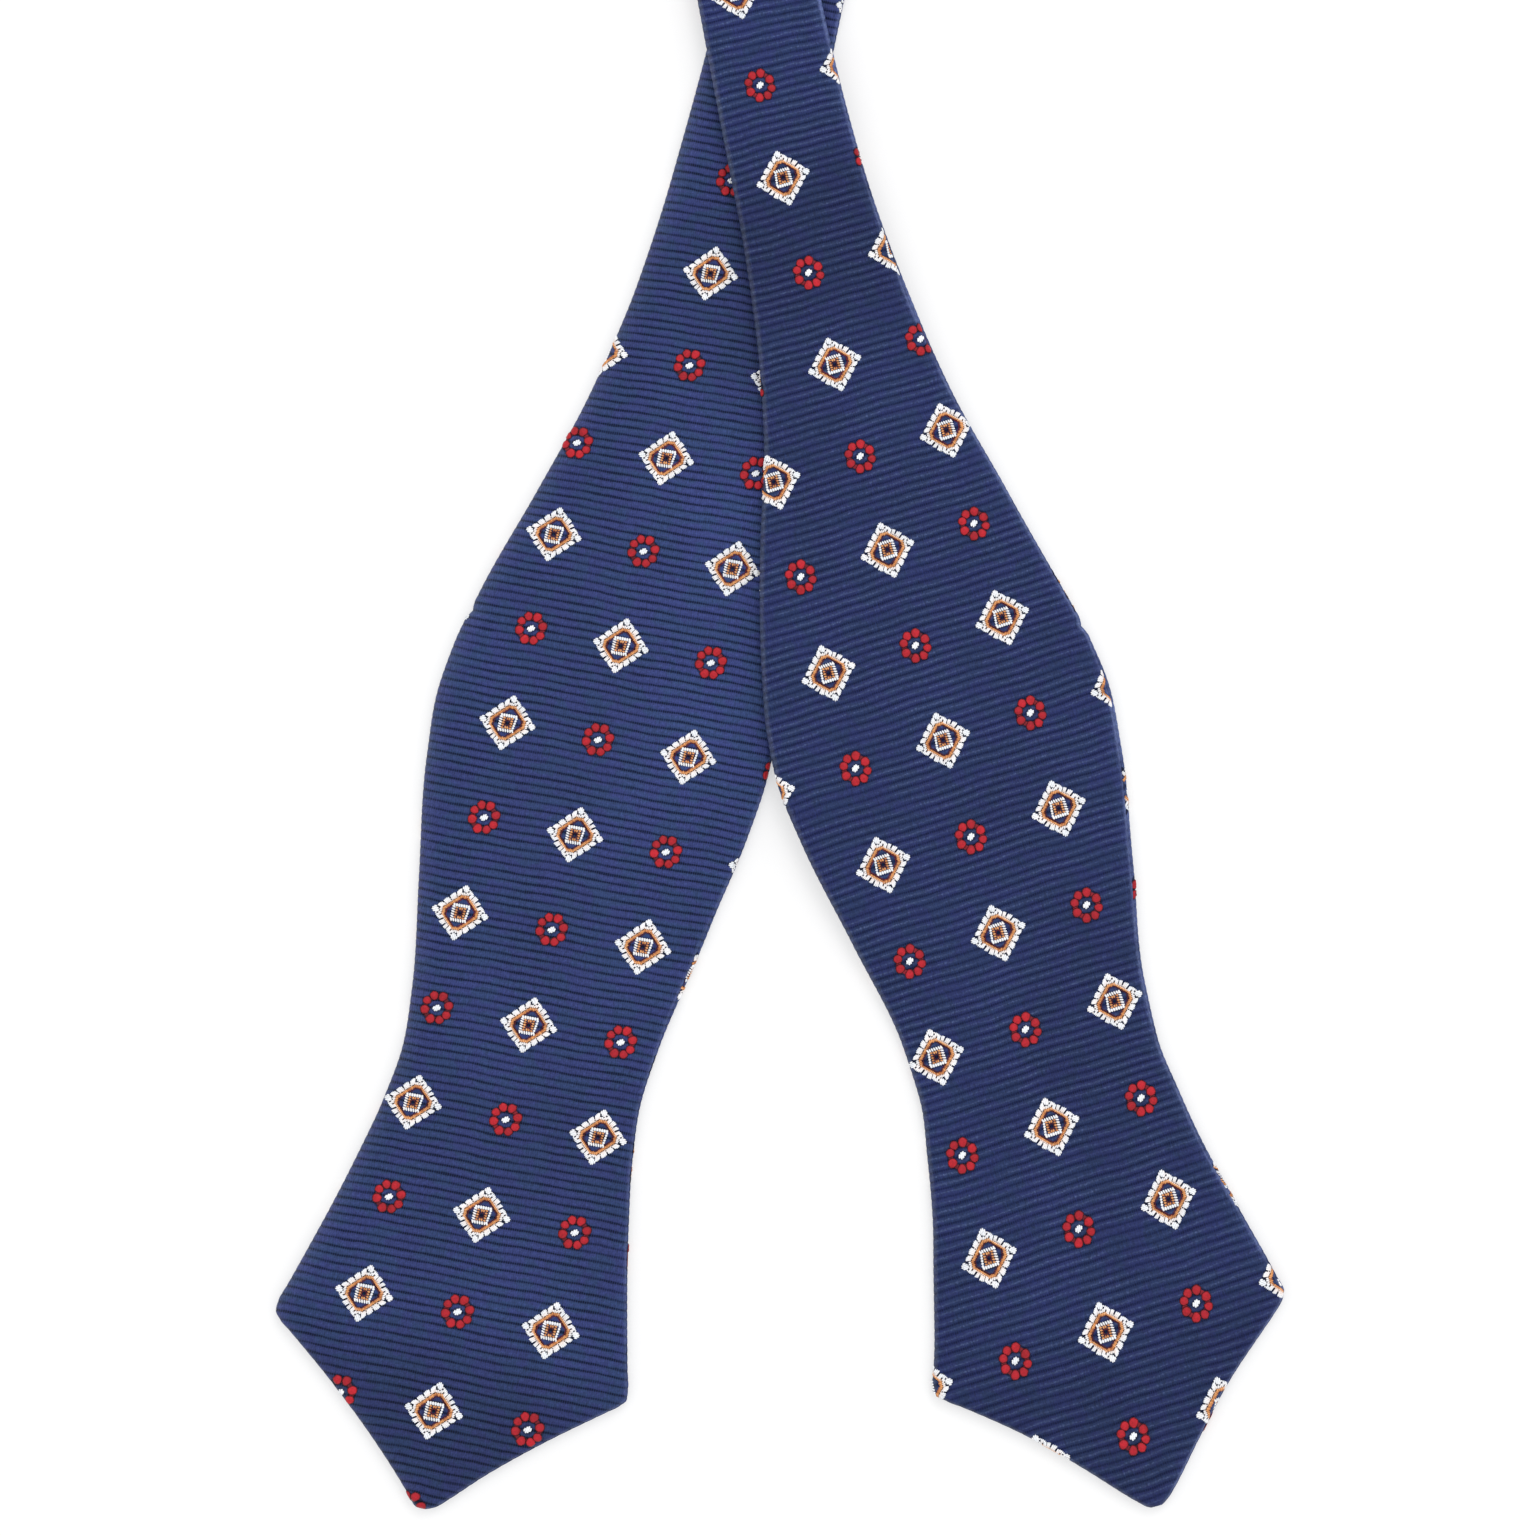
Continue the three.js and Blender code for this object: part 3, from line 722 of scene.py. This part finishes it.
def motif_centres(half, side):
    """Centres of the diamonds and of the florets on one cloth, on the woven grid."""
    run = np.linspace(half.point, half.end, 200)
    reach = half.width(run) + 8
    u, v = [], []
    for f in (-1, 1):
        a, b = half.fabric(run, f * reach)
        if side < 0:
            a, b = half.back_from[0] - a, b + half.back_from[1]
        u.append(a)
        v.append(b)
    u, v = np.concatenate(u), np.concatenate(v)
    i = np.arange(math.floor(u.min() / REPEAT_ACROSS * 2) - 1, math.ceil(u.max() / REPEAT_ACROSS * 2) + 2)
    j = np.arange(math.floor(v.min() / REPEAT_ALONG * 2) - 1, math.ceil(v.max() / REPEAT_ALONG * 2) + 2)
    i, j = (g.ravel() for g in np.meshgrid(i, j))
    at = np.stack([i * REPEAT_ACROSS / 2, j * REPEAT_ALONG / 2], 1)
    even = (i + j) % 2 == 0
    return at[even], at[~even]


def embroider(half, side, colour):
    """All threads of one colour on one cloth, joined."""
    rng = np.random.default_rng(5 + 2 * (side > 0))
    points, faces, tones, thread_side_shades, total = [], [], [], [], 0
    for motif, centres in zip((DIAMOND, FLORET), motif_centres(half, side)):
        if colour not in motif:
            continue
        local, tris, tone, deep, which = motif[colour].stacked()
        xy = centres[:, None, :] + half.turn * local[None, :, :2]
        u, v = xy[..., 0], xy[..., 1]
        if side < 0:
            u, v = half.back_from[0] - u, v - half.back_from[1]
        run, s = half.from_fabric(u, v)
        left, right, rx, rz, turn = half.edges(run, side)
        low, high = left + rx - turn, right - rx + turn
        count = which.max() + 1
        size = np.bincount(which, minlength=count)

        def mean(x):
            return np.stack([np.bincount(which, row, count) for row in x]) / size

        rim = np.where((side < 0) & (half.peek(run) > 0.04), OVER_EDGE, 0.0)
        inside = (mean(s - low) > 0.12) & (mean(high + rim - s) > 0.12)
        inside &= (mean(run) > half.point + 0.35) & (mean(run) < half.end - 0.35)
        # what still reaches past the seam is tucked into it
        high = high + rim
        s = np.where(s > high, high + 0.04 * np.tanh((s - high) / 0.4), s)
        s = np.where(s < low, low + 0.04 * np.tanh((s - low) / 0.4), s)
        run = np.clip(run, half.point + 0.02 * (1 + np.tanh(run - half.point)), half.end - 0.02)
        h = np.broadcast_to(local[:, 2], run.shape)
        place = half.place(side, run, s, h)
        kept = inside[:, which]
        number = np.where(kept, np.cumsum(kept.ravel()).reshape(kept.shape) - 1 + total, -1)
        shade = np.repeat(rng.uniform(-1, 1, (len(centres), count)), size, 1) * SPREAD[colour]
        points.append(place[kept])
        tones.append((tone[None, :] + shade)[kept])
        thread_side_shades.append(np.broadcast_to(deep, run.shape)[kept])
        whole = kept[:, tris[:, 0]]
        faces.append(number[:, tris][whole])
        total += int(kept.sum())
    obj = new_mesh(
        f"{half.name}_{'face' if side > 0 else 'back'}_{colour}_thread",
        np.concatenate(points), [np.concatenate(faces)])
    for name, values in (("tone", tones), ("deep", thread_side_shades)):
        put = obj.data.attributes.new(name, "FLOAT", "POINT")
        put.data.foreach_set("value", np.clip(np.concatenate(values), 0, 1).astype(np.float32))
    return obj


# ---- materials ------------------------------------------------------------------


class Nodes:
    """Small helper that writes shader maths as ordinary formulas."""

    def __init__(self, name):
        self.material = bpy.data.materials.new(name)
        self.material.use_nodes = True
        self.tree = self.material.node_tree
        self.shader = self.tree.nodes["Principled BSDF"]

    def put(self, socket, value):
        if isinstance(value, Value):
            self.tree.links.new(value.socket, socket)
        else:
            socket.default_value = value

    def math(self, operation, *values, clamp=False):
        node = self.tree.nodes.new("ShaderNodeMath")
        node.operation, node.use_clamp = operation, clamp
        for socket, value in zip(node.inputs, values):
            self.put(socket, value)
        return Value(self, node.outputs[0])

    def vector(self, x, y, z=0.0):
        node = self.tree.nodes.new("ShaderNodeCombineXYZ")
        for socket, value in zip(node.inputs, (x, y, z)):
            self.put(socket, value)
        return Value(self, node.outputs[0])

    def attribute(self, name):
        node = self.tree.nodes.new("ShaderNodeAttribute")
        node.attribute_name = name
        return node

    def split(self, socket):
        node = self.tree.nodes.new("ShaderNodeSeparateXYZ")
        self.tree.links.new(socket, node.inputs[0])
        return [Value(self, o) for o in node.outputs]

    def noise(self, vector, scale=1.0, detail=2.0, rough=0.5, flat=True):
        node = self.tree.nodes.new("ShaderNodeTexNoise")
        node.noise_dimensions = "2D" if flat else "3D"
        self.put(node.inputs["Vector"], vector)
        node.inputs["Scale"].default_value = scale
        node.inputs["Detail"].default_value = detail
        node.inputs["Roughness"].default_value = rough
        return Value(self, node.outputs["Fac"])

    def ramp(self, value, low, high):
        node = self.tree.nodes.new("ShaderNodeMapRange")
        node.interpolation_type = "SMOOTHSTEP"
        self.put(node.inputs["Value"], value)
        node.inputs["From Min"].default_value = low
        node.inputs["From Max"].default_value = high
        return Value(self, node.outputs["Result"])

    def mix(self, factor, a, b, blend="MIX"):
        node = self.tree.nodes.new("ShaderNodeMix")
        node.data_type, node.blend_type = "RGBA", blend
        self.put(node.inputs[0], factor)
        for socket, value in ((node.inputs[6], a), (node.inputs[7], b)):
            self.put(socket, value if isinstance(value, Value) else (*value, 1.0))
        return Value(self, node.outputs[2])

    def bump(self, height, strength, distance):
        node = self.tree.nodes.new("ShaderNodeBump")
        node.inputs["Strength"].default_value = strength
        node.inputs["Distance"].default_value = distance
        self.put(node.inputs["Height"], height)
        self.tree.links.new(node.outputs["Normal"], self.shader.inputs["Normal"])


class Value:
    def __init__(self, nodes, socket):
        self.nodes, self.socket = nodes, socket

    def __add__(self, other):
        return self.nodes.math("ADD", self, other)

    def __sub__(self, other):
        return self.nodes.math("SUBTRACT", self, other)

    def __rsub__(self, other):
        return self.nodes.math("SUBTRACT", other, self)

    def __mul__(self, other):
        return self.nodes.math("MULTIPLY", self, other)

    def __truediv__(self, other):
        return self.nodes.math("DIVIDE", self, other)

    __radd__, __rmul__ = __add__, __mul__

    def fract(self):
        return self.nodes.math("FRACT", self)

    def floor(self):
        return self.nodes.math("FLOOR", self)

    def abs(self):
        return self.nodes.math("ABSOLUTE", self)

    def sine(self):
        return self.nodes.math("SINE", self)

    def low(self, other):
        return self.nodes.math("MINIMUM", self, other)

    def high(self, other):
        return self.nodes.math("MAXIMUM", self, other)

    def clamp(self):
        return self.nodes.math("ADD", self, 0.0, clamp=True)


def silk(name, crests, groove, crest_slub_and_highlight, ridge_width=0.5, grooves=1.0, rim_highlight=0.5, margin_light=0.0, neck_shadow=0.0,
         left_rim_light=(0.012, 0.010, 0.006), painted_tilt_shade=()):
    """Ribbed silk. crests are the two shades that the crest of a rib wavers
    between, crest_slub_and_highlight a paler line along it, partly slubs and partly a
    painted highlight on the crest, and ridge_width its part of the rib. groove is the
    colour of the groove, partly its darker yarn and partly painted shade, and grooves
    how sharply the dotted groove shows. rim_highlight is the strength of the painted
    highlight along the rolled right edge, left_rim_light how much paler the left edge
    is painted, margin_light the strength of the broad painted lighter margin there, and
    neck_shadow how much painted shadow darkens the neck band below the crossing.
    painted_tilt_shade holds the slow changes of painted shade and light where the cloth
    tilts a little: the run where one starts, is full, wanes and ends, how much lighter
    it is, and how near the right edge it keeps, or 0."""
    n = Nodes(name)
    u, v, along = n.split(n.attribute("weave").outputs["Vector"])
    from_left, from_right, run = n.split(n.attribute("rims").outputs["Vector"])
    rib = along / RIB + (n.noise(n.vector(u * 0.55, v * 0.9), 1.0, 2.0) - 0.5) * 0.12
    number = (rib + 0.5).floor()
    away = (rib.fract() - 0.5).abs() * 2
    # hairlines of the warp, and the dots that they leave in the groove
    tick = n.ramp((u * (2 * math.pi / 0.39) + number * 2.4).sine(), -0.7, 0.5)
    hair = n.noise(n.vector(u * 3.0, v * 0.55), 1.0, 3.0, 0.7)
    fine = n.noise(n.vector(u * 2.3, v * 2.9), 1.0, 2.0, 0.6)
    width = n.noise(n.vector(u * 0.35, number * 7.3), 1.0, 2.0)
    line = n.ramp(away + (width - 0.5) * 0.3 + (fine - 0.5) * 0.25, 0.6, 0.88)
    depth = n.ramp(away + (width - 0.5) * 0.2, 0.2, 0.9)
    weak = n.ramp(n.noise(n.vector(u * 0.09, number * 5.1), 1.0, 2.0), 0.36, 0.6)
    shown = line * (0.4 + 0.6 * tick) * (0.6 + 0.4 * weak) * grooves
    patch = n.noise(n.vector(u * 0.22, v * 0.3), 1.0, 3.0)
    cloud = n.noise(n.vector(u * 0.06, v * 0.045), 1.0, 2.0)
    crest = n.mix(n.ramp(patch, 0.42, 0.58), *crests)
    speck = n.noise(n.vector(u * 2.6, v * 3.0), 1.0, 2.0, 0.7)
    slub = n.ramp(speck, 0.56, 0.7)
    # a paler crest: partly slubs, partly a painted highlight on the rib crest
    top = 1.0 - n.ramp(away + (fine - 0.5) * 0.45, ridge_width * 0.3, ridge_width)
    top = top * (0.25 + 0.75 * weak)
    body = n.mix((top * (0.15 + 0.6 * hair + 0.7 * slub)).clamp(), crest, crest_slub_and_highlight)
    # the groove colour: partly the darker yarn in the groove, partly painted shade in it and down the rib
    # sides
    body = n.mix((shown + depth * 0.2).clamp(), body, groove)
    shade = (
        1.0 + (hair - 0.5) * 0.9 + (fine - 0.5) * 0.45 + (cloud - 0.5) * 0.25
        + (tick - 0.5) * -0.22 * grooves * grooves + (speck - 0.5) * 0.8
    )
    # painted highlights on the rolled edges, where they catch the light and the weave is painted paler
    rim_light_noise = n.noise(n.vector(run * 1.3, from_right * 2.2), 1.0, 3.0, 0.7)
    slow = n.noise(n.vector(run * 0.11, 3.0), 1.0, 2.0)
    neck = n.ramp(run, 236.0, 262.0)
    right_rim_light = 1.0 - n.ramp(from_right + (rim_light_noise - 0.5) * 1.3, 0.45, 1.35)
    right_rim_light = right_rim_light * (0.2 + rim_light_noise * 1.1) * (0.45 + n.ramp(slow, 0.35, 0.6) * 0.8) * (1.0 + neck * 1.1)
    body = n.mix(right_rim_light * rim_highlight, body, (0.070, 0.088, 0.165), "ADD")
    rim_light_tail = 1.0 - n.ramp(from_right, 0.6, 3.2)
    body = n.mix(rim_light_tail * rim_highlight, body, (0.007, 0.010, 0.024), "ADD")
    left_rim_light_mask = 1.0 - n.ramp(from_left + (rim_light_noise - 0.5), 0.9, 1.65)
    body = n.mix(left_rim_light_mask, body, left_rim_light, "ADD")
    if margin_light:
        # painted lighter margin along the left edge
        margin = 1.0 - n.ramp(from_left, -0.5, 4.6)
        body = n.mix(margin * margin_light, body, (0.018, 0.020, 0.026), "ADD")
    if neck_shadow:
        # painted shadow on the neck band under the crossing
        below = n.ramp(run, 250.0, 262.0) * (1.0 - n.ramp(run, 292.0, 330.0))
        shade = shade * (1.0 - below * neck_shadow)
    # painted shade and light where the cloth tilts a little
    for start, full, wanes, gone, lighter, near in painted_tilt_shade:
        part = n.ramp(run, start, full) * (1.0 - n.ramp(run, wanes, gone))
        if near:
            part = part * (1.0 - n.ramp(from_right, near * 0.5, near))
        shade = shade * (1.0 + part * lighter)
    # painted shade on the ground between and under the floats of each motif, where the raised threads shade
    # it
    half_u, half_v = REPEAT_ACROSS / 2, REPEAT_ALONG / 2

    def near(du, dv):
        x = n.math("WRAP", u - du, half_u, -half_u)
        y = n.math("WRAP", v - dv, half_v, -half_v)
        return x, y

    rho = None
    for at in ((0.0, 0.0), (half_u, half_v)):
        x, y = near(*at)
        r = x.abs() + y.abs()
        rho = r if rho is None else rho.low(r)
    ring = n.ramp(rho, 3.0, 3.3) * (1.0 - n.ramp(rho, 4.9, 5.15))
    core = 1.0 - n.ramp(rho, 1.6, 1.9)
    radius = None
    for at in ((half_u, 0.0), (0.0, half_v)):
        x, y = near(*at)
        r = n.math("SQRT", x * x + y * y)
        radius = r if radius is None else radius.low(r)
    wreath = n.ramp(radius, 1.25, 1.5) * (1.0 - n.ramp(radius, 2.6, 2.85))
    eye = 1.0 - n.ramp(radius, 0.6, 1.1)
    shade_among_threads = (ring * 0.85).high(core * 0.6).high(wreath * 0.75).high(eye * 0.5)
    colour = n.mix(shade_among_threads, body, tuple(c * 0.5 for c in groove))
    n.put(n.shader.inputs["Base Color"], n.mix(1.0, colour, n.vector(shade, shade, shade), "MULTIPLY"))
    n.put(n.shader.inputs["Roughness"], (0.48 + 0.25 * line + (hair - 0.5) * 0.3).clamp())
    n.shader.inputs["Specular IOR Level"].default_value = 0.12
    n.shader.inputs["Sheen Weight"].default_value = 0.03
    n.shader.inputs["Sheen Roughness"].default_value = 0.4
    n.shader.inputs["Sheen Tint"].default_value = (0.6, 0.7, 1.0, 1.0)
    n.bump(hair * 0.6 + fine * 0.4 - shown * 1.2, 0.5, 0.00007)
    return n.material


def yarn(name, bright, toned, depth, rough=0.5, grainy=0.3):
    """Lustrous thread whose shade goes from bright to toned, with painted shade of
    strength depth down its sides, where it dips between its neighbours, and mottled by grainy."""
    n = Nodes(name)
    tone = Value(n, n.attribute("tone").outputs["Fac"])
    where = n.tree.nodes.new("ShaderNodeTexCoord").outputs["Object"]
    grain = n.noise(Value(n, where), 2600.0, 2.0, 0.6, flat=False)
    slow = n.noise(Value(n, where), 320.0, 1.0, 0.5, flat=False)
    deep = Value(n, n.attribute("deep").outputs["Fac"])
    # painted shade down the sides of each thread, by deep and depth
    shade = (0.95 + (grain - 0.5) * grainy + (slow - 0.5) * grainy) * (1.0 - deep * deep * depth)
    colour = n.mix((tone + (slow - 0.5) * 0.3).clamp(), bright, toned)
    n.put(n.shader.inputs["Base Color"], n.mix(1.0, colour, n.vector(shade, shade, shade), "MULTIPLY"))
    n.put(n.shader.inputs["Roughness"], (rough + (grain - 0.5) * 0.3).clamp())
    n.shader.inputs["Specular IOR Level"].default_value = 0.2
    n.shader.inputs["Sheen Weight"].default_value = 0.03
    n.bump(grain, 0.4, 0.00005)
    return n.material


# painted shade and light along each half: start, full, wane, end, how much lighter, how near the right edge
PAINTED_SHADE_LEFT = (
    (-60.0, -50.0, -12.0, 10.0, -0.25, 0.0), (22.0, 34.0, 42.0, 52.0, -0.08, 0.0),
    (80.0, 100.0, 150.0, 166.0, 0.15, 34.0), (146.0, 158.0, 166.0, 180.0, 0.17, 26.0),
    (176.0, 188.0, 198.0, 210.0, -0.1, 0.0),
    (250.0, 262.0, 300.0, 320.0, -0.3, 0.0))
PAINTED_SHADE_RIGHT = (
    (-60.0, -50.0, -8.0, 16.0, -0.15, 0.0), (16.0, 32.0, 66.0, 84.0, -0.08, 30.0),
    (182.0, 194.0, 206.0, 220.0, -0.16, 0.0), (218.0, 232.0, 300.0, 320.0, 0.12, 0.0))
MATERIALS = {
    ("left", 1): silk(
        "left_face_silk", ((0.0262, 0.0372, 0.138), (0.0215, 0.0425, 0.122)),
        (0.0025, 0.0065, 0.028), (0.032, 0.047, 0.156), rim_highlight=0.5, margin_light=1.0, neck_shadow=0.5,
        painted_tilt_shade=PAINTED_SHADE_LEFT),
    ("left", -1): silk(
        "left_back_silk", ((0.0240, 0.0340, 0.126), (0.0195, 0.0390, 0.112)),
        (0.0025, 0.0065, 0.028), (0.029, 0.043, 0.142), rim_highlight=0.5, margin_light=1.0, neck_shadow=0.5,
        painted_tilt_shade=PAINTED_SHADE_LEFT),
    ("right", 1): silk(
        "right_face_silk", ((0.0165, 0.0250, 0.101), (0.0142, 0.0276, 0.089)),
        (0.002, 0.005, 0.036), (0.050, 0.073, 0.164), 0.36, 0.6, rim_highlight=1.0,
        left_rim_light=(0.026, 0.028, 0.023), painted_tilt_shade=PAINTED_SHADE_RIGHT),
    ("right", -1): silk(
        "right_back_silk", ((0.0158, 0.0240, 0.096), (0.0136, 0.0265, 0.085)),
        (0.002, 0.005, 0.035), (0.047, 0.070, 0.156), 0.36, 0.6, rim_highlight=1.0,
        left_rim_light=(0.026, 0.028, 0.023), painted_tilt_shade=PAINTED_SHADE_RIGHT),
}
YARNS = {
    "white": yarn("white_thread", (0.88, 0.91, 0.95), (0.80, 0.50, 0.33), 0.5),
    "orange": yarn("orange_thread", (0.80, 0.38, 0.15), (0.33, 0.085, 0.024), 0.6, grainy=0.5),
    "red": yarn("red_thread", (0.45, 0.0115, 0.022), (0.060, 0.004, 0.013), 0.76, grainy=0.9),
}

# ---- the tie --------------------------------------------------------------------

made = {}
for spec in HALVES:
    half = Half(spec)
    for side, part in ((1, "face"), (-1, "back")):
        node = f"{half.name}_{part}_cloth"
        sheet = cloth(half, side, f"{half.name}_{part}_silk")
        sheet.data.materials.append(MATERIALS[half.name, side])
        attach(sheet, "root")
        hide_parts(node)
        threads = []
        for colour in ("white", "orange", "red"):
            thread = embroider(half, side, colour)
            thread.data.materials.append(YARNS[colour])
            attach(thread, "root")
            threads.append(thread)
        made[node] = sheet, threads

for node, (sheet, threads) in made.items():
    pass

# ---- floor, light and camera ----------------------------------------------------

PIXEL = 1 / 5.7  # millimetres to a pixel of the 1536-pixel frame
FRAME_SIDE = 1536 * PIXEL
TARGET = (-2.12, -77.21)
CAMERA_HEIGHT = 1200.0

bpy.ops.mesh.primitive_plane_add(size=6.0, location=(0, 0, -0.0002))
floor = bpy.context.object
floor.name = "floor"
paper = Nodes("pale_floor")
paper_grain = paper.noise(Value(paper, paper.tree.nodes.new("ShaderNodeTexCoord").outputs["Object"]), 3.0, 2.0, flat=False)
paper.put(paper.shader.inputs["Base Color"], paper.mix(paper_grain, (0.44, 0.44, 0.445), (0.46, 0.46, 0.46)))
paper.shader.inputs["Emission Color"].default_value = (1.0, 1.0, 1.0, 1.0)
paper.shader.inputs["Emission Strength"].default_value = 0.49  # a floor lit from within
paper.shader.inputs["Roughness"].default_value = 0.9
paper.shader.inputs["Specular IOR Level"].default_value = 0.1
floor.data.materials.append(paper.material)

world = bpy.data.worlds.new("studio")
bpy.context.scene.world = world
world.use_nodes = True
world.node_tree.nodes["Background"].inputs["Color"].default_value = (1.0, 1.0, 1.0, 1.0)
world.node_tree.nodes["Background"].inputs["Strength"].default_value = 1.12


def lamp(name, place, aim, size, power):
    data = bpy.data.lights.new(name, "AREA")
    data.shape, data.size, data.energy = "SQUARE", size, power
    obj = bpy.data.objects.new(name, data)
    bpy.context.scene.collection.objects.link(obj)
    obj.location = place
    obj.rotation_euler = (Vector(aim) - Vector(place)).to_track_quat("-Z", "Y").to_euler()
    return obj


lamp("key", (0.25, 0.85, 1.15), (0, -0.08, 0), 0.6, 4.0)

cam = bpy.data.cameras.new("camera")
cam.sensor_width = 36.0
cam.lens = 36.0 * (CAMERA_HEIGHT - THICKNESS) / FRAME_SIDE
camera = bpy.data.objects.new("camera", cam)
bpy.context.scene.collection.objects.link(camera)
camera.location = (TARGET[0] * 0.001, TARGET[1] * 0.001, CAMERA_HEIGHT * 0.001)
cam.clip_start, cam.clip_end = 0.05, 20.0
bpy.context.scene.camera = camera
bpy.context.scene.view_settings.view_transform = "Standard"
bpy.context.scene.view_settings.look = "None"
